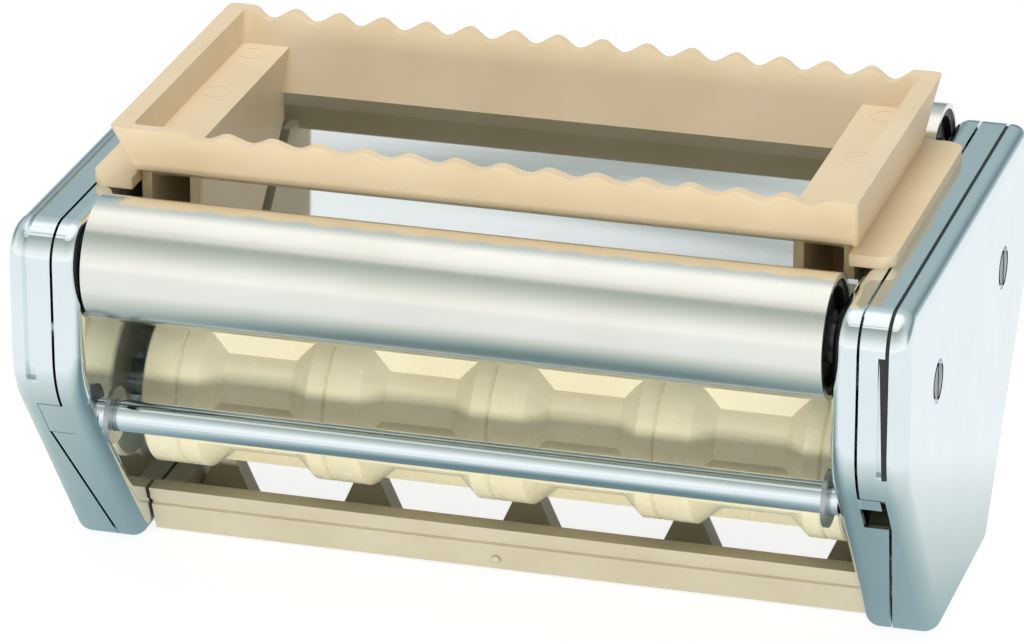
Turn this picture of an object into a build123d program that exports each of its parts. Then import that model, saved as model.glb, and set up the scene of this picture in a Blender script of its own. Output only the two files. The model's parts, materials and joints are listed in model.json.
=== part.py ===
"""Ravioli maker: two pocketed mould rollers turn together under a lift-off filling hopper.

Frame: +X along the rollers, to the right; +Y to the back; +Z up. Millimetres.
The origin is on the table, under the middle of the maker.
"""
from build123d import *
from math import cos, pi, radians, sin, sqrt, tan
import os

# ---------------------------------------------------------------- driving dimensions
# cheeks: an inner pan of sheet steel and an outer cover, on each side
inner_face = 80.2          # from the middle to the inner face of an inner plate
cover_depth = 10.1         # from the seam to the outer face of a cover
cheek_height = 86.0
cheek_half_depth = 62.0
cheek_knee_z = 50.0        # where the upright edge turns into the slanting foot
foot_half_depth = 24.0
top_corner_r = 8.0
knee_r = 22.0
foot_corner_r = 4.0
sheet = 1.2                # inner plate
cover_wall = 2.0
upper_flange = 5.6         # width of the inner plate's rim along the top and the upright
lower_flange = 10.8        # widest place of the rim along the slanting foot; it narrows to the floor
lower_flange_top = 35.5
window_height = 9.5        # rectangular window between the wide rim and the cover
seam = 0.6                 # gap between rim and cover
plate_edge_r = 3.4
web_corner_r = 0.5         # inside the pan, round the web; it stays clear of the nuts
cover_edge_r = 3.8
groove_depth = 1.3
groove_thin = 0.8
groove_wide = 2.2
groove_setback = 4.0       # from the cover's outer face to the groove
groove_foot_z = 51.0

# mould rollers
mould_r = 17.4
mould_gap = 0.2            # between the two sets of rings
mould_z = 35.4
pocket_pitch = 36.2
pocket_depth = 4.0
pad_length = 15.3          # flat floor of a pocket, along the roller
pocket_wall_run = 4.6      # each sloping end of a pocket, along the roller
band_right = 3.9           # ring on the right of each pocket
pockets_round = 4
pad_half_angle = 24.0
rib_half_angle = 10.0      # half of a rib between two pockets, at its crest
pocket_turn = 33.0         # the front pocket's angle above the horizontal, at rest
ring_bevel = 0.5           # on the outer corners of each segment
end_trim = 3.3             # the leftmost segment is shorter by this
mould_half_length = 76.8
hexagon_af = 10.0          # hexagonal shaft inside the mould, across flats
journal_r = 4.0
fit_gap = 0.05             # radial, between parts that turn in each other
slip_gap = 0.1             # between parts that are put together and stay

# gears, equal, in the right cheek
gear_teeth = 16
gear_width = 5.0
gear_pressure_angle = 20.0
gear_addendum = 0.85       # share of the module
gear_dedendum = 1.2        # share of the module
tooth_thinning = 0.3       # each flank
gear_hexagon_af = 6.6

# crank socket, in the left cheek
socket_r = 8.0
crank_bore_r = 4.5
crank_bore_length = 6.5
key_width = 2.4            # keyway above the crank's bore
key_depth = 1.5
socket_window_gap = 1.5
socket_recess = 1.0        # the socket's mouth stands this far inside the cover's face

# steel rollers
roller_r = 13.2
roller_wall = 1.2
roller_inset = 11.2        # from a cheek's upright edge to the roller's axis
roller_drop = 9.0          # from the cheek's top to the roller's axis
roller_half_length = 79.0
cap_recess = 0.6           # a black end cap lies this far inside its tube
cap_plug = 6.0
cap_dish = 1.5
cap_rim = 1.6
cap_hub = 2.4
roller_shaft_r = 3.0

# tie rods
rod_r = 3.4
rod_inset = 13.6           # from a cheek's upright edge to the rod's axis
rod_z = 40.0
rod_neck_r = 1.5
rod_ring_r = 6.2
rod_ring = 1.0
rod_ring_setback = 2.0     # from the inner plate to the ring
nut_af = 5.5
nut_height = 2.4

# guide plates
guide_sheet = 1.0
guide_roller_gap = 1.1     # level with a roller's axis, from its tube to the guide's top edge
guide_drop = 2.0           # from the cheek's top to the guide's top edge
guide_bottom_y = 3.6
guide_lift = 0.2           # from the top of the moulds to the guide's bottom edge
guide_screw_y = 24.5
guide_screw_z = 62.0
ear_thick = 2.6
ear_margin = 4.0

# hopper
rim_rise = 15.0            # from the cheek's top to the middle height of the wavy rim
wave_pitch = 10.0
wave_height = 2.0
rim_half_length = 80.3
rim_half_depth = 39.6
skirt_half_length = 78.4
skirt_half_depth = 30.8
skirt_rise = 3.4           # from the cheek's top to the outer lower edge of the long walls
skirt_lip = 2.2            # the inner lower edge hangs this much lower
lip_flat = 0.4             # flat width of that edge
under_inset = 0.8          # from the skirt's end to the end of the free space under a long wall
hopper_wall = 2.8
end_wall = 4.4
flange_half_length = 87.0
flange_half_depth = 34.5
flange = 2.6
flange_corner_r = 4.0
rim_spare = 1.0            # height left on the walls before the wavy rim is cut
block_inner = 64.5         # from the middle to an end block's inner face
block_outer = 77.4         # from the middle to its outer face, inside the end wall
block_shell = 2.2
block_overlap = 0.6        # an end block reaches this far into the long walls
block_rise = 9.6           # from the cheek's top to an end block's shelf
dough_gap = 3.0            # between an end block and the guide plates
block_tip = 1.6            # half width of the block's lower tip
hopper_corner_r = 1.5
front_wave = (-65.0, 75.0)   # the front rim is flat outside these two crests
rear_wave = (-75.0, 75.0)

# comb under the moulds
comb_end_gap = 0.4         # between the comb and each inner plate
bar_foot = 18.2            # front foot of a bar, from the middle plane
bar_lean = 4.6             # how far the bar's top leans out
bar_height = 11.4
bar_thick = 5.0
bar_groove_z = 7.1
bar_groove = 0.9
comb_foot_gap = 0.3        # the comb clears the table by this
rib_thick = 5.0
rib_height = 4.0
tooth_base = 14.6
tooth_top = 3.4
tooth_height = 12.4
tooth_thick = 5.0
comb_end = 5.0
comb_end_height = 9.0
comb_screw_y = 14.0
comb_screw_z = 5.2
comb_screw_margin = 3.0

# fasteners, posts and bushes
cover_screw_y = 32.3
cover_screw_z = 61.7
dish_r = 4.7
dish_depth = 0.9
cover_head_r = 3.7
cover_shank_r = 1.8
cover_screw_length = 9.0
slot_width = 1.0
slot_depth = 0.5
post_r = 4.0
small_head_r = 2.8
small_head = 1.8
small_shank_r = 1.4
small_length = 3.4
bush_wall = 2.0
bush_flange = 1.4
bush_step = 2.0
clip_thick = 1.0
clip_step = 2.2
end_play = 0.4             # between a bush and what turns against it
clip_groove = 0.6
clip_tail = 1.5            # shaft left beyond a clip
pin_r = 1.0
pin_setback = 2.4          # from the end of the socket's hexagon to its cross pin

# ---------------------------------------------------------------- worked-out places
mould_y = mould_r + mould_gap / 2
pocket_floor_r = mould_r - pocket_depth
rim_edge = inner_face + upper_flange
lower_rim_edge = inner_face + lower_flange
web_back = inner_face + sheet
cheek_outer = rim_edge + seam + cover_depth
cover_inner = cheek_outer - cover_wall
roller_y = cheek_half_depth - roller_inset
roller_z = cheek_height - roller_drop
rod_y = cheek_half_depth - rod_inset
guide_top_y = roller_y - roller_r - guide_roller_gap
guide_top_z = cheek_height - guide_drop
guide_bottom_z = mould_z + mould_r + guide_lift
rim_z = cheek_height + rim_rise
skirt_z = cheek_height + skirt_rise
block_top = cheek_height + block_rise
rim_top = rim_z + wave_height / 2
flange_top = cheek_height + flange
bush_end = web_back + bush_flange
gear_start = bush_end + end_play
roller_clip_start = bush_end + end_play
gear_end = gear_start + gear_width
mould_clip_r = gear_hexagon_af / 2 - clip_groove
guide_run = guide_top_y - guide_bottom_y
guide_rise = guide_top_z - guide_bottom_z
guide_slope = sqrt(guide_run ** 2 + guide_rise ** 2)
comb_half_length = inner_face - comb_end_gap
segment_ends = [-2 * pocket_pitch + end_trim, -pocket_pitch, 0, pocket_pitch, 2 * pocket_pitch]
comb_screw_points = [(-comb_screw_y, comb_screw_z), (comb_screw_y, comb_screw_z)]
guide_screw_points = [(-guide_screw_y, guide_screw_z), (guide_screw_y, guide_screw_z)]
roller_points = [(-roller_y, roller_z), (roller_y, roller_z)]
mould_points = [(-mould_y, mould_z), (mould_y, mould_z)]
rod_points = [(-rod_y, rod_z), (rod_y, rod_z)]
cover_screw_points = [(-cover_screw_y, cover_screw_z), (cover_screw_y, cover_screw_z)]
far = 3 * cheek_height         # longer than any piece

sides = {"left": -1, "right": 1}
rows = {"front": -1, "rear": 1}

os.makedirs("parts", exist_ok=True)


def save(builder, name):
    """Label the finished piece and write it as its own file."""
    builder.part.label = name
    export_step(builder.part, f"parts/{name}.step")


def side_plane(side, distance):
    """Plane across X whose normal points outwards; local x is side * Y, local y is Z."""
    return Plane(origin=(side * distance, 0, 0), x_dir=(0, side, 0), z_dir=(side, 0, 0))


def discs(side, distance, points, radius):
    """Circles round the (Y, Z) points, on a plane across X."""
    with BuildSketch(side_plane(side, distance)) as face:
        with Locations(*[(side * y, z) for y, z in points]):
            Circle(radius)
    return face.sketch


def hexagons(side, distance, points, across_flats):
    """Hexagons round the (Y, Z) points, on a plane across X."""
    with BuildSketch(side_plane(side, distance)) as face:
        with Locations(*[(side * y, z) for y, z in points]):
            RegularPolygon(across_flats / 2, 6, major_radius=False)
    return face.sketch


def band(side, distance, z_low, z_high):
    """A wide rectangle between two heights, on a plane across X."""
    with BuildSketch(side_plane(side, distance)) as face:
        with Locations((0, (z_low + z_high) / 2)):
            Rectangle(far, z_high - z_low)
    return face.sketch


# ---------------------------------------------------------------- cheeks
def cheek_face(side, distance, inset=0.0):
    """The cheek's outline on a plane across X, drawn in by inset."""
    corners = [
        (-cheek_half_depth, cheek_height),
        (-cheek_half_depth, cheek_knee_z),
        (-foot_half_depth, 0),
        (foot_half_depth, 0),
        (cheek_half_depth, cheek_knee_z),
        (cheek_half_depth, cheek_height),
    ]
    radii = [top_corner_r, knee_r, foot_corner_r, foot_corner_r, knee_r, top_corner_r]
    with BuildSketch(side_plane(side, distance)) as face:
        with BuildLine():
            FilletPolyline(*corners, radius=radii, close=True)
        make_face()
        if inset:
            offset(amount=-inset)
    return face.sketch


def edges_at(builder, x):
    """The edges of a solid that lie in the plane across X at x."""
    return builder.edges().filter_by_position(Axis.X, x - 0.01, x + 0.01)


def rim_line(side, gap):
    """Two points on the wide rim's slanting edge, moved outwards by gap: under the floor, and its top."""
    slope = (lower_rim_edge - rim_edge) / lower_flange_top
    return [
        (side * (rim_edge + gap - slope), -1),
        (side * (lower_rim_edge + gap), lower_flange_top),
    ]


def outside_rim(side):
    """Region in the plane along X that lies outside the wide rim."""
    with BuildSketch(Plane.XZ) as region:
        with BuildLine():
            Polyline(*rim_line(side, 0), (side * far, lower_flange_top), (side * far, -1), close=True)
        make_face()
    return region.sketch


def under_cover(side):
    """Region in the plane along X that the cover leaves free for the wide rim and the window."""
    inside = side * (rim_edge + seam - 1)
    window_top = lower_flange_top + window_height
    with BuildSketch(Plane.XZ) as region:
        with BuildLine():
            Polyline(*rim_line(side, seam), (side * (lower_rim_edge + seam), window_top),
                     (inside, window_top), (inside, -1), close=True)
        make_face()
    return region.sketch


def inner_plate(side):
    """Sheet steel pan, open outwards: web, narrow rim above, wide rim along the foot."""
    with BuildPart() as foot:
        extrude(cheek_face(side, inner_face), amount=lower_flange)
        extrude(band(side, inner_face, lower_flange_top, far), amount=lower_flange,
                mode=Mode.SUBTRACT)
        extrude(outside_rim(side), amount=far, both=True, mode=Mode.SUBTRACT)
    with BuildPart() as hollow:
        extrude(cheek_face(side, web_back, sheet), amount=lower_flange)
        fillet(edges_at(hollow, side * web_back), web_corner_r)
    with BuildPart() as plate:
        extrude(cheek_face(side, inner_face), amount=upper_flange)
        add(foot.part)
        fillet(edges_at(plate, side * inner_face), plate_edge_r)
        add(hollow.part, mode=Mode.SUBTRACT)
        holes = [
            (mould_points, journal_r + bush_wall + slip_gap),
            (roller_points, roller_shaft_r + bush_wall + slip_gap),
            (rod_points, rod_neck_r + slip_gap),
            (comb_screw_points + guide_screw_points, small_shank_r + slip_gap),
        ]
        for points, radius in holes:
            extrude(discs(side, inner_face, points, radius), amount=sheet, mode=Mode.SUBTRACT)
    return plate


def cover(side):
    """Outer shell of a cheek, open inwards, cut short along the foot where the wide rim lies."""
    start = rim_edge + seam
    with BuildPart() as hollow:
        extrude(cheek_face(side, start, cover_wall), amount=cover_inner - start)
        fillet(edges_at(hollow, side * cover_inner), cover_edge_r - cover_wall)
    with BuildPart() as shell:
        extrude(cheek_face(side, start), amount=cheek_outer - start)
        fillet(edges_at(shell, side * cheek_outer), cover_edge_r)
        add(hollow.part, mode=Mode.SUBTRACT)
        extrude(under_cover(side), amount=far, both=True, mode=Mode.SUBTRACT)
        add(cover_groove(side).part, mode=Mode.SUBTRACT)
        extrude(discs(side, cheek_outer - dish_depth, cover_screw_points, dish_r),
                amount=dish_depth, mode=Mode.SUBTRACT)
        extrude(discs(side, cover_inner, cover_screw_points, cover_shank_r + slip_gap),
                amount=cover_wall, mode=Mode.SUBTRACT)
        if side == sides["left"]:
            extrude(discs(side, cover_inner, mould_points[:1], socket_r + socket_window_gap),
                    amount=cover_wall, mode=Mode.SUBTRACT)
    return shell


def cover_groove(side):
    """Ring that cuts the cover's groove: thin along the top, wide on the two uprights."""
    outer_end = cheek_outer - groove_setback
    start = outer_end - groove_wide
    with BuildPart() as ring:
        extrude(cheek_face(side, start), amount=groove_wide)
        extrude(cheek_face(side, start, groove_depth), amount=groove_wide, mode=Mode.SUBTRACT)
        extrude(band(side, start, -1, groove_foot_z), amount=groove_wide, mode=Mode.SUBTRACT)
        extrude(band(side, start, cheek_height - top_corner_r, far),
                amount=groove_wide - groove_thin, mode=Mode.SUBTRACT)
    return ring


def cover_posts(side):
    """Two tubes that stand between the inner plate's web and the cover."""
    with BuildPart() as posts:
        extrude(discs(side, web_back, cover_screw_points, post_r), amount=cover_inner - web_back)
        extrude(discs(side, web_back, cover_screw_points, cover_shank_r + slip_gap),
                amount=cover_inner - web_back, mode=Mode.SUBTRACT)
    return posts


def cover_screws(side):
    """Slotted screws whose heads sit in the cover's dishes."""
    head_start = cheek_outer - dish_depth
    shank_start = head_start - cover_screw_length
    with BuildPart() as screws:
        extrude(discs(side, shank_start, cover_screw_points, cover_shank_r),
                amount=cover_screw_length)
        extrude(discs(side, head_start, cover_screw_points, cover_head_r), amount=dish_depth)
        with BuildSketch(side_plane(side, cheek_outer)) as slots:
            with Locations(*[(side * y, z) for y, z in cover_screw_points]):
                Rectangle(slot_width, 2 * cover_head_r)
        extrude(slots.sketch, amount=-slot_depth, mode=Mode.SUBTRACT)
    return screws


def small_screws(side, points):
    """Pan-head screws driven inwards through the inner plate's web."""
    with BuildPart() as screws:
        extrude(discs(side, web_back, points, small_head_r), amount=small_head)
        extrude(discs(side, web_back - small_length, points, small_shank_r), amount=small_length)
    return screws


def bushes(points, shaft_r):
    """Flanged bushes in both inner plates, at the (Y, Z) points."""
    with BuildPart() as group:
        for side in sides.values():
            barrel_r = shaft_r + bush_wall
            extrude(discs(side, inner_face, points, barrel_r), amount=sheet)
            extrude(discs(side, web_back, points, barrel_r + bush_step), amount=bush_flange)
            extrude(discs(side, inner_face, points, shaft_r + fit_gap),
                    amount=sheet + bush_flange, mode=Mode.SUBTRACT)
    return group


for name, side in sides.items():
    save(inner_plate(side), f"{name}_inner_plate")
    save(cover(side), f"{name}_cover")
    save(cover_posts(side), f"{name}_cover_posts")
    save(cover_screws(side), f"{name}_cover_screws")
save(bushes(mould_points, journal_r), "mould_bushes")
save(bushes(roller_points, roller_shaft_r), "roller_bushes")


# ---------------------------------------------------------------- tie rods
def tie_rod(point):
    """Rod between the inner plates, with a thin neck through each web."""
    neck_end = web_back + nut_height
    with BuildPart() as rod:
        for side in sides.values():
            extrude(discs(side, 0, [point], rod_r), amount=inner_face)
            extrude(discs(side, 0, [point], rod_neck_r), amount=neck_end)
    return rod


with BuildPart() as tie_rod_rings:
    ring_start = inner_face - rod_ring_setback - rod_ring
    for side in sides.values():
        extrude(discs(side, ring_start, rod_points, rod_ring_r), amount=rod_ring)
        extrude(discs(side, ring_start, rod_points, rod_r + slip_gap), amount=rod_ring,
                mode=Mode.SUBTRACT)

with BuildPart() as tie_rod_nuts:
    for side in sides.values():
        extrude(hexagons(side, web_back, rod_points, nut_af), amount=nut_height)
        extrude(discs(side, web_back, rod_points, rod_neck_r + fit_gap), amount=nut_height,
                mode=Mode.SUBTRACT)

for name, row in rows.items():
    save(tie_rod((row * rod_y, rod_z)), f"{name}_tie_rod")
save(tie_rod_rings, "tie_rod_rings")
save(tie_rod_nuts, "tie_rod_nuts")


# ---------------------------------------------------------------- guide plates
def guide_height(y):
    """Height of a guide plate's upper face at a distance y from the middle plane."""
    return guide_bottom_z + (y - guide_bottom_y) * guide_rise / guide_run


def guide_plate(row):
    """Sloping sheet that leads the dough from a steel roller to the moulds, with an ear at each end."""
    drop_y = guide_sheet * guide_rise / guide_slope
    drop_z = guide_sheet * guide_run / guide_slope
    section = [
        (row * guide_top_y, guide_top_z),
        (row * guide_bottom_y, guide_bottom_z),
        (row * (guide_bottom_y + drop_y), guide_bottom_z - drop_z),
        (row * (guide_top_y + drop_y), guide_top_z - drop_z),
    ]
    ear = [
        (row * guide_bottom_y + row * 10, guide_height(guide_bottom_y + 10) - drop_z / 2),
        (row * (guide_screw_y + ear_margin), guide_height(guide_screw_y + ear_margin) - drop_z / 2),
        (row * (guide_screw_y + ear_margin), guide_screw_z - ear_margin),
        (row * (guide_screw_y - ear_margin), guide_screw_z - ear_margin),
    ]
    half_length = inner_face - slip_gap
    with BuildPart() as plate:
        with BuildSketch(Plane.YZ.offset(-half_length)) as profile:
            with BuildLine():
                Polyline(*section, close=True)
            make_face()
        extrude(amount=2 * half_length)
        for side in sides.values():
            with BuildSketch(side_plane(side, half_length)) as flap:
                with BuildLine():
                    Polyline(*[(side * y, z) for y, z in ear], close=True)
                make_face()
            extrude(flap.sketch, amount=-ear_thick)
            extrude(discs(side, half_length, [(row * guide_screw_y, guide_screw_z)],
                          small_shank_r + slip_gap), amount=-ear_thick, mode=Mode.SUBTRACT)
    return plate


for name, row in rows.items():
    save(guide_plate(row), f"{name}_guide_plate")


# ---------------------------------------------------------------- comb
def comb_bar():
    """Section of the long front bar: it leans outwards and has a groove under its top band."""
    lean = bar_lean / bar_height
    top = comb_foot_gap + bar_height
    groove_y = bar_foot + lean * bar_groove_z
    points = [
        (bar_foot, comb_foot_gap),
        (groove_y, bar_groove_z),
        (groove_y - bar_groove, bar_groove_z + 0.3),
        (groove_y - bar_groove + lean, bar_groove_z + 1.1),
        (groove_y + lean, bar_groove_z + 1.4),
        (bar_foot + bar_lean, top),
        (bar_foot + bar_lean - bar_thick, top),
        (bar_foot - bar_thick, comb_foot_gap),
    ]
    with BuildSketch(Plane.YZ.offset(-comb_half_length)) as section:
        with BuildLine():
            Polyline(*[(-y, z) for y, z in points], close=True)
        make_face()
    return section.sketch


def comb_ribs(places, width, back):
    """Rectangles that run from the bar's middle to a place behind the middle plane."""
    front = bar_foot - bar_thick / 2
    with BuildSketch(Plane.XY.offset(comb_foot_gap)) as ribs:
        with Locations(*[(x, -front) for x in places]):
            Rectangle(width, front + back, align=(Align.CENTER, Align.MIN))
    return ribs.sketch


def comb_tooth(x):
    """Trapezoid outline of a tooth, on the middle plane."""
    with BuildSketch(Plane.XZ.offset(-tooth_thick / 2)) as face:
        with BuildLine():
            Polyline(
                (x - tooth_base / 2, comb_foot_gap),
                (x + tooth_base / 2, comb_foot_gap),
                (x + tooth_top / 2, comb_foot_gap + tooth_height),
                (x - tooth_top / 2, comb_foot_gap + tooth_height),
                close=True,
            )
        make_face()
    return face.sketch


with BuildPart() as comb:
    extrude(comb_bar(), amount=2 * comb_half_length)
    end_middle = comb_half_length - comb_end / 2
    extrude(comb_ribs(segment_ends, rib_thick, tooth_thick / 2), amount=rib_height)
    extrude(comb_ribs([-end_middle, end_middle], comb_end, comb_screw_y + comb_screw_margin),
            amount=comb_end_height)
    for x in segment_ends:
        extrude(comb_tooth(x), amount=tooth_thick)
    for side in sides.values():
        extrude(discs(side, comb_half_length, comb_screw_points, small_shank_r + slip_gap),
                amount=-comb_end, mode=Mode.SUBTRACT)
save(comb, "comb")

with BuildPart() as comb_screws:
    for side in sides.values():
        add(small_screws(side, comb_screw_points).part)
save(comb_screws, "comb_screws")

with BuildPart() as guide_screws:
    for side in sides.values():
        add(small_screws(side, guide_screw_points).part)
save(guide_screws, "guide_screws")


# ---------------------------------------------------------------- mould rollers
def pocket_groove(row, middle):
    """Ring with sloping ends, cut round a segment down to the pocket floors."""
    half_pad = pad_length / 2
    mouth_r = mould_r + 1
    half_mouth = half_pad + pocket_wall_run * (mouth_r - pocket_floor_r) / pocket_depth
    with BuildPart() as ring:
        with BuildSketch(Plane.XZ.offset(-row * mould_y)):
            with BuildLine():
                Polyline(
                    (middle - half_mouth, mould_z + mouth_r),
                    (middle - half_pad, mould_z + pocket_floor_r),
                    (middle + half_pad, mould_z + pocket_floor_r),
                    (middle + half_mouth, mould_z + mouth_r),
                    close=True,
                )
            make_face()
        revolve(axis=Axis((0, row * mould_y, mould_z), (1, 0, 0)))
    return ring.part


def pocket_ribs(row, start):
    """Cross-section of the ribs that part the pockets round a segment."""
    half_gap = radians(180 / pockets_round - pad_half_angle)
    foot_half = pocket_floor_r * sin(half_gap)
    foot_height = pocket_floor_r * cos(half_gap)
    crest_half = mould_r * sin(radians(rib_half_angle))
    crest_height = mould_r * cos(radians(rib_half_angle))
    flank = (foot_half - crest_half) / (crest_height - foot_height)
    rib = [
        (foot_height - 1, foot_half + flank),
        (crest_height + 1, crest_half - flank),
        (crest_height + 1, flank - crest_half),
        (foot_height - 1, -foot_half - flank),
    ]
    section_plane = Plane(origin=(start, row * mould_y, mould_z), x_dir=(0, row, 0), z_dir=(row, 0, 0))
    with BuildSketch(section_plane) as section:
        with PolarLocations(0, pockets_round, start_angle=pocket_turn + 180 / pockets_round):
            Polygon(*rib, align=None)
        Circle(mould_r, mode=Mode.INTERSECT)
    return section.sketch


def mould_segment(row, start, end):
    """One length of a mould roller, with its ring of pockets; a hexagonal bore takes the shaft."""
    axis_point = [(row * mould_y, mould_z)]
    groove_length = pad_length + 2 * pocket_wall_run
    groove_start = end - band_right - groove_length
    with BuildPart() as segment:
        extrude(discs(1, start, axis_point, mould_r), amount=end - start)
        chamfer(segment.edges().filter_by(GeomType.CIRCLE), ring_bevel)
        add(pocket_groove(row, groove_start + groove_length / 2), mode=Mode.SUBTRACT)
        extrude(pocket_ribs(row, groove_start - slip_gap), amount=row * (groove_length + 2 * slip_gap))
        extrude(hexagons(1, start, axis_point, hexagon_af + 2 * slip_gap), amount=end - start,
                mode=Mode.SUBTRACT)
    return segment


def mould_collars(row):
    """Plain rings that close a mould roller at each end."""
    axis_point = [(row * mould_y, mould_z)]
    with BuildPart() as collars:
        for side, inside in ((-1, -segment_ends[0]), (1, segment_ends[-1])):
            extrude(discs(side, inside, axis_point, mould_r), amount=mould_half_length - inside)
        chamfer(collars.edges().filter_by(GeomType.CIRCLE), ring_bevel)
        extrude(hexagons(1, -mould_half_length, axis_point, hexagon_af + 2 * slip_gap),
                amount=2 * mould_half_length, mode=Mode.SUBTRACT)
    return collars


def mould_shaft(row):
    """Steel shaft: hexagon in the mould, round journals, small hexagons for gear and socket."""
    axis_point = [(row * mould_y, mould_z)]
    clips = [(1, gear_end)]
    ends = [(1, gear_end + clip_thick + clip_tail), (-1, socket_inner_end - slip_gap)]
    if row == rows["rear"]:
        clips = [(1, gear_end), (-1, gear_start)]
        ends = [(1, gear_end + clip_thick + clip_tail), (-1, gear_start + clip_thick + clip_tail)]
    with BuildPart() as shaft:
        for side, end in ends:
            extrude(hexagons(side, 0, axis_point, hexagon_af), amount=mould_half_length)
            extrude(discs(side, 0, axis_point, journal_r), amount=gear_start)
            extrude(hexagons(side, 0, axis_point, gear_hexagon_af), amount=end)
        for side, start in clips:
            extrude(discs(side, start, axis_point, journal_r), amount=clip_thick, mode=Mode.SUBTRACT)
            extrude(discs(side, start, axis_point, mould_clip_r), amount=clip_thick)
        if row == rows["front"]:
            extrude(pin_hole(pin_r).sketch, amount=far, both=True, mode=Mode.SUBTRACT)
    return shaft


def pin_hole(radius):
    """Circle on the table plane, under the drive socket's cross pin."""
    with BuildSketch(Plane.XY) as hole:
        with Locations((-socket_inner_end + pin_setback, -mould_y)):
            Circle(radius)
    return hole


def clip(side, start, point, inner_r):
    """Retaining washer on a shaft end."""
    with BuildPart() as ring:
        extrude(discs(side, start, [point], inner_r + clip_step), amount=clip_thick)
        extrude(discs(side, start, [point], inner_r), amount=clip_thick, mode=Mode.SUBTRACT)
    return ring.part


def involute_point(base_r, roll, turn):
    """Point on the involute of a circle of base_r, unrolled by roll radians and turned by turn."""
    return (
        base_r * (cos(roll + turn) + roll * sin(roll + turn)),
        base_r * (sin(roll + turn) - roll * cos(roll + turn)),
    )


def gear(row):
    """Spur gear with involute teeth; the two gears mesh half a tooth apart."""
    module = 2 * mould_y / gear_teeth
    pitch_r = mould_y
    base_r = pitch_r * cos(radians(gear_pressure_angle))
    tip_r = pitch_r + gear_addendum * module
    root_r = pitch_r - gear_dedendum * module
    pressure = radians(gear_pressure_angle)
    half_tooth = pi / (2 * gear_teeth) - tooth_thinning / pitch_r + (tan(pressure) - pressure)
    tip_roll = sqrt((tip_r / base_r) ** 2 - 1)
    rolls = [tip_roll * step / 4 for step in range(5)]
    lower = [involute_point(base_r, roll, -half_tooth) for roll in rolls]
    upper = [(x, -y) for x, y in lower]
    start_turn = 0 if row == rows["front"] else 180 / gear_teeth
    with BuildSketch(Plane.YZ) as tooth:
        with BuildLine():
            Spline(*lower)
            ThreePointArc(lower[-1], (tip_r, 0), upper[-1])
            Spline(*reversed(upper))
            Polyline(upper[0], (root_r - 1, upper[0][1]), (root_r - 1, lower[0][1]), lower[0])
        make_face()
    with BuildSketch(Plane(origin=(gear_start, row * mould_y, mould_z), x_dir=(0, 1, 0),
                           z_dir=(1, 0, 0))) as outline:
        Circle(root_r)
        with PolarLocations(0, gear_teeth, start_angle=start_turn):
            add(tooth.sketch_local)
        RegularPolygon(gear_hexagon_af / 2 + slip_gap, 6, major_radius=False, mode=Mode.SUBTRACT)
    with BuildPart() as wheel:
        extrude(outline.sketch, amount=gear_width)
    return wheel


socket_outer_end = cheek_outer - socket_recess
socket_inner_end = socket_outer_end - crank_bore_length - 1.0

with BuildPart() as drive_socket:
    drive_point = [(-mould_y, mould_z)]
    socket_length = socket_outer_end - gear_start
    extrude(discs(-1, gear_start, drive_point, socket_r), amount=socket_length)
    extrude(hexagons(-1, gear_start, drive_point, gear_hexagon_af + 2 * slip_gap),
            amount=socket_inner_end - gear_start, mode=Mode.SUBTRACT)
    extrude(discs(-1, socket_outer_end - crank_bore_length, drive_point, crank_bore_r),
            amount=crank_bore_length, mode=Mode.SUBTRACT)
    with BuildSketch(side_plane(-1, socket_outer_end)) as keyway:
        with Locations((mould_y, mould_z + (crank_bore_r + key_depth) / 2)):
            Rectangle(key_width, crank_bore_r + key_depth)
    extrude(keyway.sketch, amount=-crank_bore_length, mode=Mode.SUBTRACT)
    extrude(pin_hole(pin_r).sketch, amount=far, both=True, mode=Mode.SUBTRACT)
save(drive_socket, "drive_socket")

with BuildPart() as socket_pin:
    with BuildSketch(Plane.XY.offset(mould_z - socket_r + 0.5)) as pin_end:
        with Locations((-socket_inner_end + pin_setback, -mould_y)):
            Circle(pin_r)
    extrude(amount=2 * socket_r - 1)
save(socket_pin, "socket_pin")

for name, row in rows.items():
    point = (row * mould_y, mould_z)
    for number in range(len(segment_ends) - 1):
        piece = mould_segment(row, segment_ends[number], segment_ends[number + 1])
        save(piece, f"{name}_mould_segment_{number + 1}")
    save(mould_collars(row), f"{name}_mould_collars")
    save(mould_shaft(row), f"{name}_mould_shaft")
    save(gear(row), f"{name}_gear")
    with BuildPart() as mould_clips:
        add(clip(1, gear_end, point, mould_clip_r))
        if row == rows["rear"]:
            add(clip(-1, gear_start, point, mould_clip_r))
    save(mould_clips, f"{name}_mould_clips")


# ---------------------------------------------------------------- steel rollers
def roller_tube(point):
    """Polished steel tube."""
    start = -roller_half_length
    with BuildPart() as tube:
        extrude(discs(1, start, [point], roller_r), amount=2 * roller_half_length)
        extrude(discs(1, start, [point], roller_r - roller_wall), amount=2 * roller_half_length,
                mode=Mode.SUBTRACT)
    return tube


def roller_caps(point):
    """Black plastic plugs in both ends of a tube, with a dish round the hub."""
    plug_start = roller_half_length - cap_recess - cap_plug
    dish_start = plug_start + cap_plug - cap_dish
    with BuildPart() as caps:
        for side in sides.values():
            extrude(discs(side, plug_start, [point], roller_r - roller_wall - fit_gap),
                    amount=cap_plug)
            extrude(discs(side, dish_start, [point], roller_r - roller_wall - cap_rim),
                    amount=cap_dish, mode=Mode.SUBTRACT)
            extrude(discs(side, dish_start, [point], roller_shaft_r + cap_hub), amount=cap_dish)
            extrude(discs(side, plug_start, [point], roller_shaft_r + fit_gap), amount=cap_plug,
                    mode=Mode.SUBTRACT)
    return caps


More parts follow.
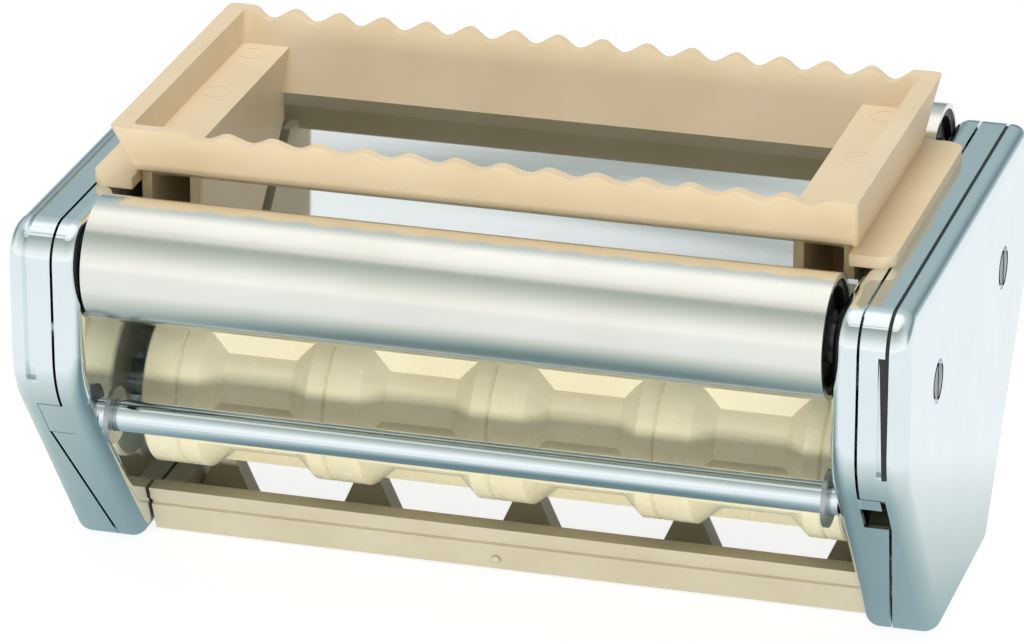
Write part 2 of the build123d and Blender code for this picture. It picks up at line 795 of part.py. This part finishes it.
def roller_shaft(point):
    """Thin shaft through a steel roller, held by a clip outside each inner plate."""
    half = roller_clip_start + clip_thick + clip_tail
    with BuildPart() as shaft:
        extrude(discs(1, -half, [point], roller_shaft_r), amount=2 * half)
        for side in sides.values():
            extrude(discs(side, roller_clip_start, [point], roller_shaft_r), amount=clip_thick,
                    mode=Mode.SUBTRACT)
            extrude(discs(side, roller_clip_start, [point], roller_shaft_r - clip_groove),
                    amount=clip_thick)
    return shaft


for name, row in rows.items():
    point = (row * roller_y, roller_z)
    save(roller_tube(point), f"{name}_roller_tube")
    save(roller_caps(point), f"{name}_roller_caps")
    save(roller_shaft(point), f"{name}_roller_shaft")
    with BuildPart() as roller_clips:
        for side in sides.values():
            add(clip(side, roller_clip_start, point, roller_shaft_r - clip_groove))
    save(roller_clips, f"{name}_roller_clips")


# ---------------------------------------------------------------- hopper
def hopper_half_depth(z):
    """Outer half depth of the hopper's sloping walls at height z."""
    share = (z - flange_top) / (rim_z - flange_top)
    return skirt_half_depth + share * (rim_half_depth - skirt_half_depth)


def hopper_half_length(z):
    """Outer half length of the hopper's sloping walls at height z."""
    share = (z - flange_top) / (rim_z - flange_top)
    return skirt_half_length + share * (rim_half_length - skirt_half_length)


block_knee_y = skirt_half_depth - hopper_wall + block_overlap
block_shelf_y = hopper_half_depth(block_top) - hopper_wall + block_overlap


def hopper_funnel(low, high, inset_x=0.0, inset_y=0.0):
    """Solid between two heights of the hopper's sloping walls, drawn in by the insets."""
    with BuildPart() as funnel:
        for z in (low, high):
            with BuildSketch(Plane.XY.offset(z)):
                RectangleRounded(2 * (hopper_half_length(z) - inset_x),
                                 2 * (hopper_half_depth(z) - inset_y), hopper_corner_r)
        loft(ruled=True)
    return funnel.part


under_half_length = skirt_half_length - under_inset


def under_skirt(row):
    """Section of the free space under a long wall, whose lower edge hangs lower on the inside."""
    lip_z = skirt_z - skirt_lip
    lip_y = hopper_half_depth(lip_z) - hopper_wall
    tip_y = lip_y + lip_flat
    edge_y = hopper_half_depth(skirt_z)
    beyond_z = skirt_z + skirt_lip / (edge_y - tip_y)
    outline = [
        (lip_y - 2, lip_z),
        (tip_y, lip_z),
        (edge_y + 1, beyond_z),
        (far, beyond_z),
        (far, cheek_height - 1),
        (lip_y - 2, cheek_height - 1),
    ]
    with BuildSketch(Plane.YZ.offset(-under_half_length)) as section:
        with BuildLine():
            Polyline(*[(row * y, z) for y, z in outline], close=True)
        make_face()
    return section.sketch


def wave_cut(left, right):
    """Region above the rim: flat outside two crests, wavy between them."""
    quarters = round(4 * (right - left) / wave_pitch)
    points = []
    for step in range(quarters + 1):
        x = left + step * wave_pitch / 4
        points.append((x, rim_z + wave_height / 2 * cos(step * pi / 2)))
    ceiling = rim_top + 2 * rim_spare
    with BuildSketch(Plane.XZ) as region:
        with BuildLine():
            Spline(*points, tangents=[(1, 0), (1, 0)])
            Polyline(points[-1], (far, rim_top), (far, ceiling), (-far, ceiling), (-far, rim_top),
                     points[0])
        make_face()
    return region.sketch


def block_plate(side, distance):
    """V outline of an end block on a plane across X; its edges keep dough_gap off the guides."""
    raise_z = dough_gap * guide_slope / guide_run
    outline = [
        (block_tip, guide_height(block_tip) + raise_z),
        (block_knee_y, guide_height(block_knee_y) + raise_z),
        (block_knee_y, flange_top),
        (block_shelf_y, block_top),
    ]
    with BuildSketch(side_plane(side, distance)) as face:
        with BuildLine():
            Polyline(*outline, *[(-y, z) for y, z in reversed(outline)], close=True)
        make_face()
    return face.sketch


def end_block(side):
    """Hollow block that fills one end of the hopper down to the moulds: two plates, web, shelf."""
    length = block_outer - block_inner
    tip_z = guide_height(block_tip) + dough_gap * guide_slope / guide_run
    middle = side * (block_inner + block_outer) / 2
    with BuildPart() as block:
        extrude(block_plate(side, block_inner), amount=block_shell)
        extrude(block_plate(side, block_outer - block_shell), amount=block_shell)
        with BuildSketch(Plane.XY.offset(block_top - block_shell)) as shelf:
            with Locations((middle, 0)):
                Rectangle(length, 2 * block_shelf_y)
        extrude(shelf.sketch, amount=block_shell)
        with BuildSketch(Plane.XY.offset(tip_z)) as web:
            with Locations((middle, 0)):
                Rectangle(length, block_shell)
        extrude(web.sketch, amount=block_top - tip_z)
    return block.part


with BuildPart() as hopper:
    add(hopper_funnel(cheek_height, rim_top + rim_spare))
    with BuildSketch(Plane.XY.offset(cheek_height)) as ledge:
        RectangleRounded(2 * flange_half_length, 2 * flange_half_depth, flange_corner_r)
    extrude(ledge.sketch, amount=flange)
    add(hopper_funnel(cheek_height - 1, rim_top + 2 * rim_spare, end_wall, hopper_wall),
        mode=Mode.SUBTRACT)
    for row in rows.values():
        extrude(under_skirt(row), amount=2 * under_half_length, mode=Mode.SUBTRACT)
    extrude(wave_cut(*front_wave), amount=far, mode=Mode.SUBTRACT)
    extrude(wave_cut(*rear_wave), amount=-far, mode=Mode.SUBTRACT)
    for side in sides.values():
        add(end_block(side))
save(hopper, "hopper")
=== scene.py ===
"""Ravioli maker: finishes, small details, studio and camera round the fixed frame. Metres."""
import bmesh
import bpy
import json
from math import cos, pi, radians, sin
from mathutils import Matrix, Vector


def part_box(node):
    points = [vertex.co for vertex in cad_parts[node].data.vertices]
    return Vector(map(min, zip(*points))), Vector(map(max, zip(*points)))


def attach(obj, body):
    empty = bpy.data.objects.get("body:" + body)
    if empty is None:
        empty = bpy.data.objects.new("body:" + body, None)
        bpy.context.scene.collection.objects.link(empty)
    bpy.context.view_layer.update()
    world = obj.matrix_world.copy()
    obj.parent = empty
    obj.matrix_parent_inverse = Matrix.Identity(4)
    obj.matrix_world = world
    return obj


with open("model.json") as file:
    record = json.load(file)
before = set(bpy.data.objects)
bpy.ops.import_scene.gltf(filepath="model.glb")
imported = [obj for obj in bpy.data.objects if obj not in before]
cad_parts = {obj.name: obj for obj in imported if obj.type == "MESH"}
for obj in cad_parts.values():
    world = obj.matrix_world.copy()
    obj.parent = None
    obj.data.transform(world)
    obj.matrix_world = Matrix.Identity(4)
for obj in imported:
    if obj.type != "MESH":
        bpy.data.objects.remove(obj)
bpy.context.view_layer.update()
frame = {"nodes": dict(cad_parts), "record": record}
nodes = frame["nodes"]
scene = bpy.context.scene
MM = 0.001
WHITE = (1.0, 1.0, 1.0)
BLACK = (0.0, 0.0, 0.0)


# ---------------------------------------------------------------- node helpers
class Finish:
    """A material with one Principled shader and short calls for its texture nodes."""

    def __init__(self, name, color, metallic, roughness):
        self.material = bpy.data.materials.new(name)
        self.material.use_nodes = True
        self.tree = self.material.node_tree
        self.shader = self.tree.nodes["Principled BSDF"]
        self.shader.inputs["Base Color"].default_value = (*color, 1)
        self.shader.inputs["Metallic"].default_value = metallic
        self.shader.inputs["Roughness"].default_value = roughness
        self.place = self.tree.nodes.new("ShaderNodeTexCoord").outputs["Object"]

    def stretched(self, scale):
        """The object's own coordinates, scaled along each axis."""
        mapping = self.tree.nodes.new("ShaderNodeMapping")
        mapping.inputs["Scale"].default_value = scale
        self.tree.links.new(self.place, mapping.inputs["Vector"])
        return mapping.outputs["Vector"]

    def noise(self, scale, detail=3.0, stretch=(1, 1, 1)):
        """Noise with about `scale` lumps to the metre."""
        texture = self.tree.nodes.new("ShaderNodeTexNoise")
        texture.inputs["Scale"].default_value = scale
        texture.inputs["Detail"].default_value = detail
        self.tree.links.new(self.stretched(stretch), texture.inputs["Vector"])
        return texture.outputs["Fac"]

    def spread(self, value, low, high, start=0.3, end=0.7):
        """value mapped from start..end to low..high."""
        span = self.tree.nodes.new("ShaderNodeMapRange")
        ends = {"From Min": start, "From Max": end, "To Min": low, "To Max": high}
        for name, number in ends.items():
            span.inputs[name].default_value = number
        self.tree.links.new(value, span.inputs["Value"])
        return span.outputs["Result"]

    def tint(self, value, first, second):
        """Base colour between two colours."""
        mix = self.tree.nodes.new("ShaderNodeMix")
        mix.data_type = "RGBA"
        mix.inputs["A"].default_value = (*first, 1)
        mix.inputs["B"].default_value = (*second, 1)
        self.tree.links.new(value, mix.inputs["Factor"])
        self.tree.links.new(mix.outputs["Result"], self.shader.inputs["Base Color"])

    def rough(self, value):
        """Roughness from a texture."""
        self.tree.links.new(value, self.shader.inputs["Roughness"])

    def bump(self, layers):
        """Bumps one over another; each layer is (height, strength, depth in metres)."""
        normal = None
        for height, strength, depth in layers:
            node = self.tree.nodes.new("ShaderNodeBump")
            node.inputs["Strength"].default_value = strength
            node.inputs["Distance"].default_value = depth
            self.tree.links.new(height, node.inputs["Height"])
            if normal:
                self.tree.links.new(normal, node.inputs["Normal"])
            normal = node.outputs["Normal"]
        self.tree.links.new(normal, self.shader.inputs["Normal"])


# ---------------------------------------------------------------- finishes
PLASTIC_IOR = 1.49
PLASTIC_DEPTH = (0.004, 0.0025, 0.0012)   # how far red, green and blue light goes in
PLASTIC_GLOW = 0.06                       # share of the light that does


def linear(red, green, blue):
    """Scene colour of an 8-bit display colour, by the sRGB curve."""
    channels = []
    for value in (red, green, blue):
        share = value / 255
        channels.append(share / 12.92 if share <= 0.04045 else ((share + 0.055) / 1.055) ** 2.4)
    return tuple(channels)


def scaled(color, share, lift=0.0):
    """A colour with each channel times share, plus lift."""
    return tuple(channel * share + lift for channel in color)


def cream_plastic(name, light, shade, roughness, grain_depth):
    """Injection moulded plastic: cloudy colour, fine spark-eroded grain, soft sink marks."""
    finish = Finish(name, light, metallic=0.0, roughness=roughness)
    clouds = finish.noise(scale=45, detail=4.0)
    smears = finish.noise(scale=400, detail=5.0)
    sinks = finish.noise(scale=35, detail=1.0)
    grain = finish.noise(scale=2600, detail=2.0)
    finish.tint(finish.spread(clouds, 0.0, 1.0), light, shade)
    finish.rough(finish.spread(smears, roughness - 0.06, roughness + 0.08))
    finish.bump([(sinks, 0.25, 0.4 * MM), (grain, 0.35, grain_depth)])
    finish.shader.inputs["IOR"].default_value = PLASTIC_IOR
    finish.shader.inputs["Subsurface Weight"].default_value = PLASTIC_GLOW
    finish.shader.inputs["Subsurface Radius"].default_value = PLASTIC_DEPTH
    return finish.material


def chrome(name, tint, haze, ripple, ripple_size=22, stretch=(1, 1, 1)):
    """Chromed pressed sheet: slow ripples from the press, polishing haze, hairline scratches."""
    finish = Finish(name, tint, metallic=1.0, roughness=haze)
    clouds = finish.noise(scale=60, detail=3.0, stretch=stretch)
    smears = finish.noise(scale=220, detail=6.0, stretch=stretch)
    ripples = finish.noise(scale=ripple_size, detail=1.0, stretch=stretch)
    scratches = finish.noise(scale=1800, detail=4.0, stretch=(0.15, 1, 1))
    finish.tint(finish.spread(clouds, 0.0, 1.0), tint, scaled(tint, 0.96))
    finish.rough(finish.spread(smears, haze * 0.7, haze * 1.5))
    finish.bump([(ripples, 0.3, ripple), (scratches, 0.05, 0.02 * MM)])
    return finish.material


def ground_steel(name, light, shade, roughness, ring_scale, depth):
    """Steel ground in a lathe: fine rings round the X axis, cloudy polish between them."""
    finish = Finish(name, light, metallic=1.0, roughness=roughness)
    rings = finish.noise(scale=ring_scale, detail=5.0, stretch=(1, 0.02, 0.02))
    clouds = finish.noise(scale=90, detail=4.0, stretch=(0.35, 1, 1))
    pits = finish.noise(scale=3200, detail=3.0)
    finish.tint(finish.spread(clouds, 0.0, 1.0), light, shade)
    finish.rough(finish.spread(rings, roughness - 0.05, roughness + 0.07))
    finish.bump([(rings, 0.12, depth), (pits, 0.1, depth)])
    return finish.material


def moulded_rubber(name, color, roughness):
    """Dark moulded plastic with a matt grain and a few pale rub marks."""
    finish = Finish(name, color, metallic=0.0, roughness=roughness)
    rubs = finish.noise(scale=700, detail=6.0)
    smears = finish.noise(scale=500, detail=4.0)
    grain = finish.noise(scale=3000, detail=2.0)
    worn = scaled(color, 2.2, 0.01)
    finish.tint(finish.spread(rubs, 0.0, 0.6, start=0.5, end=0.8), color, worn)
    finish.rough(finish.spread(smears, roughness - 0.1, roughness + 0.1))
    finish.bump([(grain, 0.4, 0.04 * MM)])
    return finish.material


def zinc(name, tint, roughness):
    """Zinc plate on a turned screw: pale spangle and fine turning marks."""
    finish = Finish(name, tint, metallic=1.0, roughness=roughness)
    spangle = finish.noise(scale=500, detail=4.0)
    smears = finish.noise(scale=900, detail=4.0)
    marks = finish.noise(scale=2500, detail=3.0)
    finish.tint(spangle, tint, scaled(tint, 0.7))
    finish.rough(finish.spread(smears, roughness - 0.08, roughness + 0.12))
    finish.bump([(marks, 0.3, 0.03 * MM)])
    return finish.material


CHROME_TINT = linear(234, 242, 245)

# each maker of a finish, and what it gets for each slot after the name
FINISHES = {
    cream_plastic: {
        "cream_hopper": (linear(233, 213, 179), linear(225, 203, 166), 0.42, 0.04 * MM),
        "cream_mould": (linear(234, 226, 193), linear(226, 216, 180), 0.22, 0.02 * MM),
        "cream_comb": (linear(212, 203, 178), linear(203, 193, 166), 0.38, 0.03 * MM),
        "bush_plastic": (linear(214, 200, 168), linear(205, 190, 156), 0.45, 0.04 * MM),
        "gear_plastic": (linear(216, 206, 180), linear(206, 196, 168), 0.42, 0.04 * MM),
    },
    chrome: {
        "chrome_plate": (CHROME_TINT, 0.07, 0.3 * MM),
        "steel_sheet": (linear(224, 230, 232), 0.06, 0.8 * MM, 70, (0.05, 1, 1)),
    },
    ground_steel: {
        "satin_tube": (linear(241, 240, 234), linear(233, 231, 222), 0.2, 5200, 0.02 * MM),
        "bright_rod": (linear(234, 241, 248), CHROME_TINT, 0.08, 4000, 0.01 * MM),
        "turned_steel": (linear(190, 192, 195), linear(170, 172, 176), 0.3, 2600, 0.03 * MM),
    },
    zinc: {"zinc_screws": (linear(150, 155, 158), 0.3)},
    moulded_rubber: {"black_caps": ((0.012, 0.012, 0.013), 0.45)},
}
finishes = {slot: make(slot, *settings)
            for make, slots in FINISHES.items() for slot, settings in slots.items()}

for part in frame["record"]["subparts"]:
    mesh = nodes[part["node"]].data
    mesh.materials.clear()
    mesh.materials.append(finishes[part["material_slot"]])


# ---------------------------------------------------------------- softened edges
WELD_GAP = 0.01 * MM
FLAT_ANGLE = 0.5              # degrees between faces that become one before the bevel
BEVEL_STEPS = 3
SEGMENTS = [f"{row}_mould_segment_{number}" for row in ("front", "rear") for number in (1, 2, 3, 4)]


def soften(node, width, angle):
    """Rounds a node's edges that are sharper than angle, in degrees, with modifiers."""
    piece = nodes[node]
    weld = piece.modifiers.new("weld", "WELD")
    weld.merge_threshold = WELD_GAP
    flat = piece.modifiers.new("flat", "DECIMATE")
    flat.decimate_type = "DISSOLVE"
    flat.angle_limit = radians(FLAT_ANGLE)
    bevel = piece.modifiers.new("bevel", "BEVEL")
    bevel.width = width
    bevel.segments = BEVEL_STEPS
    bevel.limit_method = "ANGLE"
    bevel.angle_limit = radians(angle)
    bevel.use_clamp_overlap = True
    bevel.harden_normals = True


soften("hopper", 0.5 * MM, 25)
soften("comb", 0.35 * MM, 25)
for segment in SEGMENTS:
    soften(segment, 0.45 * MM, 28)


# ---------------------------------------------------------------- small pieces
def new_piece(name, build, body, slot):
    """A mesh object made by build(bm), with its body and the finish of its slot."""
    bm = bmesh.new()
    build(bm)
    bmesh.ops.recalc_face_normals(bm, faces=bm.faces)
    mesh = bpy.data.meshes.new(name)
    bm.to_mesh(mesh)
    bm.free()
    mesh.materials.append(finishes[slot])
    piece = bpy.data.objects.new(name, mesh)
    scene.collection.objects.link(piece)
    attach(piece, body)
    return piece


def swept_band(bm, sections):
    """Closed solid through four-cornered sections."""
    rings = [[bm.verts.new(corner) for corner in section] for section in sections]
    for first, second in zip(rings, rings[1:]):
        for step in range(4):
            after = (step + 1) % 4
            bm.faces.new((first[step], first[after], second[after], second[step]))
    bm.faces.new(rings[0])
    bm.faces.new(reversed(rings[-1]))


def turned_ring(bm, profile, centre, steps=32):
    """Closed ring round the vertical through centre; profile is (radius, height) pairs."""
    rings = []
    for radius, height in profile:
        ring = []
        for step in range(steps):
            turn = 2 * pi * step / steps
            ring.append(bm.verts.new((centre[0] + radius * cos(turn),
                                      centre[1] + radius * sin(turn), centre[2] + height)))
        rings.append(ring)
    for first, second in zip(rings, rings[1:] + rings[:1]):
        for step in range(steps):
            after = (step + 1) % steps
            bm.faces.new((first[step], first[after], second[after], second[step]))


# painted shade: a black strip in the groove of the right cover, standing in for the shade of the
# gap between its shells
GAP_SHADE_FOOT = 51.0 * MM        # its lowest point
GAP_SHADE_CORNER = 8.0 * MM       # radius of the cover's top corners
GAP_SHADE_RECESS = 0.6 * MM       # under the cover's side faces
GAP_SHADE_THICK = 0.5 * MM
GAP_SHADE_OUTER = 4.1 * MM        # from the cover's outer face to the strip's near edge
GAP_SHADE_TOP_WIDTH = 0.7 * MM
GAP_SHADE_WIDE = 2.0 * MM         # on the uprights, just under the corner
GAP_SHADE_NARROW = 1.0 * MM       # at its foot
CORNER_STEPS = 8


def gap_shade_path(half_depth, height):
    """Places round the cover, foot to foot: (y, z, outward y, outward z, width)."""
    corner_y = half_depth - GAP_SHADE_CORNER
    corner_z = height - GAP_SHADE_CORNER
    half = [(half_depth, GAP_SHADE_FOOT, 1.0, 0.0, GAP_SHADE_NARROW),
            (half_depth, corner_z, 1.0, 0.0, GAP_SHADE_WIDE)]
    for step in range(1, CORNER_STEPS + 1):
        turn = pi / 2 * step / CORNER_STEPS
        wide_share = max(0.0, 1 - 2 * step / CORNER_STEPS)
        width = GAP_SHADE_TOP_WIDTH + (GAP_SHADE_WIDE - GAP_SHADE_TOP_WIDTH) * wide_share
        half.append((corner_y + GAP_SHADE_CORNER * cos(turn), corner_z + GAP_SHADE_CORNER * sin(turn),
                     cos(turn), sin(turn), width))
    return half + [(-y, z, -out_y, out_z, width) for y, z, out_y, out_z, width in reversed(half)]


def gap_shade_strip(bm):
    """The black strip of painted shade, from its cross-sections."""
    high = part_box("right_cover")[1]
    near = high[0] - GAP_SHADE_OUTER
    sections = []
    for y, z, out_y, out_z, width in gap_shade_path(high[1], high[2]):
        far = near - width
        top, bottom = [(y - out_y * depth, z - out_z * depth)
                       for depth in (GAP_SHADE_RECESS, GAP_SHADE_RECESS + GAP_SHADE_THICK)]
        sections.append([(near, *top), (far, *top), (far, *bottom), (near, *bottom)])
    swept_band(bm, sections)


# painted shade: a black strip where the cover's groove lies in shade
new_piece("right_cover_gap_shade", gap_shade_strip, "frame", "black_caps")

# what stands in a cover's window, above the wide rim: from and to along X, measured from the
# plate's inner face, then lowest and highest point, and how far it lies under the slanting side
TONGUE = {"run": (3.6 * MM, 10.0 * MM), "height": (41.0 * MM, 44.2 * MM), "recess": 0.9 * MM}
BLANK = {"run": (5.0 * MM, 11.3 * MM), "height": (35.6 * MM, 44.8 * MM), "recess": 0.05 * MM}
INSET_THICK = 0.9 * MM
FOOT_HALF = 24.0 * MM         # half the flat foot of a cheek
KNEE_HEIGHT = 50.0 * MM       # where its slanting side ends


def slant_y(height, half_depth):
    """Half depth of a cheek on its slanting foot."""
    return FOOT_HALF + (half_depth - FOOT_HALF) * height / KNEE_HEIGHT


def window_inset(bm, side, row, shape):
    """A small plate that stands in a cover's window and follows its slanting side."""
    low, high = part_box(f"{side}_inner_plate")
    outward = 1 if side == "right" else -1
    start = low[0] if side == "right" else high[0]
    bottom, top = shape["height"]
    near, deep = shape["recess"], shape["recess"] + INSET_THICK
    corners = ((bottom, near), (top, near), (top, deep), (bottom, deep))
    swept_band(bm, [[(start + outward * run, row * (slant_y(z, high[1]) - recess), z)
                     for z, recess in corners] for run in shape["run"]])


for side, kind, shape in (("left", "window_blank", BLANK), ("right", "window_tongue", TONGUE)):
    for place, row in (("front", -1), ("rear", 1)):
        new_piece(f"{side}_{place}_{kind}", lambda bm: window_inset(bm, side, row, shape),
                  "frame", "chrome_plate")

# ejector rings on the hopper's shelves
MARK_RADIUS = 3.1 * MM
MARK_LINE = 0.16 * MM
MARK_RISE = 0.07 * MM
SHELF_HEIGHT = 95.6 * MM
SHELF_MIDDLE = 70.95 * MM
MARK_PLACES = {"middle": 2.0 * MM, "back": 27.0 * MM}


def ring_mark(bm, centre):
    """A raised line round an ejector's place, with its edges under the shelf."""
    turned_ring(bm, [(MARK_RADIUS - MARK_LINE, -MARK_LINE),
                     (MARK_RADIUS - MARK_LINE / 2, MARK_RISE),
                     (MARK_RADIUS + MARK_LINE / 2, MARK_RISE),
                     (MARK_RADIUS + MARK_LINE, -MARK_LINE)], centre)


for place, y in MARK_PLACES.items():
    for side, sign in (("left", -1), ("right", 1)):
        new_piece(f"{side}_shelf_mark_{place}",
                  lambda bm: ring_mark(bm, (sign * SHELF_MIDDLE, y, SHELF_HEIGHT)),
                  "hopper", "cream_hopper")

# moulding pip on the comb's front bar
PIP_RADIUS = 0.9 * MM
PIP_FLATNESS = 0.6            # its depth as a share of its height
PIP_PLACE = (-2.0 * MM, -20.2 * MM, 3.3 * MM)


def pip(bm):
    """A low dome, half sunk in the bar."""
    bmesh.ops.create_uvsphere(bm, u_segments=16, v_segments=10, radius=PIP_RADIUS)
    for vert in bm.verts:
        vert.co = Vector(PIP_PLACE) + Vector((vert.co.x, vert.co.y * PIP_FLATNESS, vert.co.z))


new_piece("comb_pip", pip, "frame", "cream_comb").data.shade_smooth()


# ---------------------------------------------------------------- studio
FLOOR_SIZE = 6
FLOOR_HEIGHT = -0.1 * MM               # just under the feet
FLOOR_ROUGHNESS = 0.9
FLOOR_PAINT = (0.86, 0.86, 0.86)
FLOOR_SHADOWED = (0.34, 0.34, 0.35)    # the camera sees this, plus the glow
FLOOR_GLOW = 0.83
FLOOR_OVAL = (0.65, 1.0, 0.0)          # a place is squeezed by this
FLOOR_CENTRE = (0, 0.03, 0)            # and moved by this, to measure from the middle of the painted shade
FLOOR_FAR = 0.4                        # metres to the end of the painted shade
# painted reflection of the floor in metal: painted shade close under the maker, paler further out
FLOOR_PAINTED_SHADE_IN_METAL = [
    (0.10, (0.18, 0.26, 0.28)),
    (0.15, (0.34, 0.45, 0.47)),
    (0.20, (0.60, 0.67, 0.65)),
    (0.31, (0.94, 0.97, 0.98)),
]
SKY_LIGHT = (0.47, 0.47, 0.48)
SKY_TURN = {"From Min": -0.15, "From Max": 0.3}   # a ray's Y, from the front painted reflection to the back one
PAINTED_REFLECTION_FRONT = [                                     # painted reflection by a ray's Z, as metal shows it, with painted highlight bands and dark streaks
    (0.0, (1.12, 1.12, 1.10)),
    (0.30, (0.98, 0.99, 0.96)),
    (0.70, (0.54, 0.60, 0.57)),
    (0.87, (0.36, 0.42, 0.38)),
    (0.895, (1.1, 1.1, 1.08)),
    (0.912, (1.1, 1.1, 1.08)),
    (0.92, (0.36, 0.40, 0.36)),
    (0.935, (1.1, 1.1, 1.08)),
]
# painted reflection behind the maker, as metal shows it
PAINTED_REFLECTION_BACK = [
    (0.0, (0.55, 0.62, 0.64)),
    (0.18, (0.17, 0.25, 0.27)),
    (0.36, (0.38, 0.48, 0.50)),
    (0.75, (0.62, 0.70, 0.72)),
    (0.90, (1.2, 1.2, 1.18)),
]
LAMPS = {
    "overhead": {"place": (-0.1, 0.15, 1.3), "target": (0, 0, 0.05), "size": (0.9, 0.7),
                 "watts": 9.5},
    "front": {"place": (0.1, -1.5, 0.10), "target": (0, 0, 0.05), "size": (1.6, 0.2), "watts": 19},
}


def aimed(direction):
    """Rotation that turns a camera or lamp to look along direction, with its top up."""
    return direction.to_track_quat("-Z", "Y").to_euler()


def color_mix(tree, factor, first, second):
    """Mixes two colours, each a constant or an output; returns the result."""
    mix = tree.nodes.new("ShaderNodeMix")
    mix.data_type = "RGBA"
    tree.links.new(factor, mix.inputs["Factor"])
    for socket, color in ((mix.inputs["A"], first), (mix.inputs["B"], second)):
        if isinstance(color, tuple):
            socket.default_value = (*color, 1)
        else:
            tree.links.new(color, socket)
    return mix.outputs["Result"]


def calculated(tree, operation, first, second):
    """A Math node over outputs or constants."""
    node = tree.nodes.new("ShaderNodeMath")
    node.operation = operation
    for socket, value in zip(node.inputs, (first, second)):
        if isinstance(value, (int, float)):
            socket.default_value = value
        else:
            tree.links.new(value, socket)
    return node.outputs[0]


def color_ramp(tree, value, stops):
    """Colours between the given positions along value."""
    ramp = tree.nodes.new("ShaderNodeValToRGB")
    tree.links.new(value, ramp.inputs["Fac"])
    elements = ramp.color_ramp.elements
    while len(elements) < len(stops):
        elements.new(0.5)
    for element, (position, color) in zip(elements, stops):
        element.position = position
        element.color = (*color, 1)
    return ramp.outputs["Color"]


def mirror_rays(tree, path):
    """1 on rays that metal or glass sends on."""
    return calculated(tree, "MAXIMUM", path.outputs["Is Glossy Ray"],
                      path.outputs["Is Transmission Ray"])


def floor_material():
    """White table that keeps the shadow; in metal it shows a painted reflection, with painted shade
    close by, under the maker.
    """
    material = bpy.data.materials.new("floor_white")
    material.use_nodes = True
    tree = material.node_tree
    shader = tree.nodes["Principled BSDF"]
    shader.inputs["Roughness"].default_value = FLOOR_ROUGHNESS
    shader.inputs["Specular IOR Level"].default_value = 0.0
    path = tree.nodes.new("ShaderNodeLightPath")
    camera_ray = path.outputs["Is Camera Ray"]
    mirrored = mirror_rays(tree, path)
    place = tree.nodes.new("ShaderNodeNewGeometry")
    oval = tree.nodes.new("ShaderNodeVectorMath")
    oval.operation = "MULTIPLY_ADD"
    oval.inputs[1].default_value = FLOOR_OVAL
    oval.inputs[2].default_value = FLOOR_CENTRE
    tree.links.new(place.outputs["Position"], oval.inputs[0])
    length = tree.nodes.new("ShaderNodeVectorMath")
    length.operation = "LENGTH"
    tree.links.new(oval.outputs["Vector"], length.inputs[0])
    reach = calculated(tree, "MULTIPLY", length.outputs["Value"], 1 / FLOOR_FAR)
    # painted shade and painted reflection: what metal shows of the floor, by distance from the
    # maker
    painted_reflection = color_ramp(tree, reach, FLOOR_PAINTED_SHADE_IN_METAL)
    base = color_mix(tree, camera_ray, FLOOR_PAINT, FLOOR_SHADOWED)
    base = color_mix(tree, mirrored, base, BLACK)
    tree.links.new(base, shader.inputs["Base Color"])
    emitted = color_mix(tree, mirrored, WHITE, painted_reflection)
    tree.links.new(emitted, shader.inputs["Emission Color"])
    glow = calculated(tree, "MULTIPLY", camera_ray, FLOOR_GLOW)
    strength = calculated(tree, "MAXIMUM", glow, mirrored)
    tree.links.new(strength, shader.inputs["Emission Strength"])
    return material


def lay_floor():
    """The table under the maker."""
    bpy.ops.mesh.primitive_plane_add(size=1, location=(0, 0, FLOOR_HEIGHT))
    plane = bpy.context.object
    plane.name = "floor"
    plane.scale = (FLOOR_SIZE, FLOOR_SIZE, 1)
    plane.data.materials.append(floor_material())


def hang_sky():
    """World: white to the camera, even light for the rest; metal sees a painted reflection, bright
    in front with painted highlight bands, dim behind.
    """
    world = bpy.data.worlds.new("studio")
    scene.world = world
    world.use_nodes = True
    tree = world.node_tree
    background = tree.nodes["Background"]
    path = tree.nodes.new("ShaderNodeLightPath")
    place = tree.nodes.new("ShaderNodeTexCoord")
    split = tree.nodes.new("ShaderNodeSeparateXYZ")
    tree.links.new(place.outputs["Generated"], split.inputs[0])
    # painted reflection and painted highlights that only metal and glass see
    front = color_ramp(tree, split.outputs["Z"], PAINTED_REFLECTION_FRONT)
    back = color_ramp(tree, split.outputs["Z"], PAINTED_REFLECTION_BACK)
    turn = tree.nodes.new("ShaderNodeMapRange")
    for name, number in SKY_TURN.items():
        turn.inputs[name].default_value = number
    tree.links.new(split.outputs["Y"], turn.inputs["Value"])
    painted_reflection = color_mix(tree, turn.outputs["Result"], front, back)
    color = color_mix(tree, mirror_rays(tree, path), SKY_LIGHT, painted_reflection)
    color = color_mix(tree, path.outputs["Is Camera Ray"], color, WHITE)
    tree.links.new(color, background.inputs["Color"])


def hang_lamp(name, place, target, size, watts):
    """Rectangular soft lamp aimed at a point. Metal doesn't show it."""
    lamp = bpy.data.lights.new(name, "AREA")
    lamp.shape = "RECTANGLE"
    lamp.size, lamp.size_y = size
    lamp.energy = watts
    holder = bpy.data.objects.new(name, lamp)
    holder.visible_glossy = False
    holder.location = place
    holder.rotation_euler = aimed(Vector(target) - Vector(place))
    scene.collection.objects.link(holder)


lay_floor()
hang_sky()
for name, settings in LAMPS.items():
    hang_lamp(name, **settings)

# ---------------------------------------------------------------- camera
CAMERA_PLACE = Vector((0.3373, -1.1832, 0.5627))
CAMERA_AIM = Vector((-0.256, 0.8872, -0.384))
CAMERA_LENS = 217.9           # with the sensor's width, in millimetres
CAMERA_SENSOR = 36.0
CAMERA_NEAR = 0.01

camera_data = bpy.data.cameras.new("camera")
camera_data.sensor_width = CAMERA_SENSOR
camera_data.lens = CAMERA_LENS
camera_data.clip_start = CAMERA_NEAR
camera = bpy.data.objects.new("camera", camera_data)
camera.location = CAMERA_PLACE
camera.rotation_euler = aimed(CAMERA_AIM)
scene.collection.objects.link(camera)
scene.camera = camera
scene.view_settings.view_transform = "Standard"
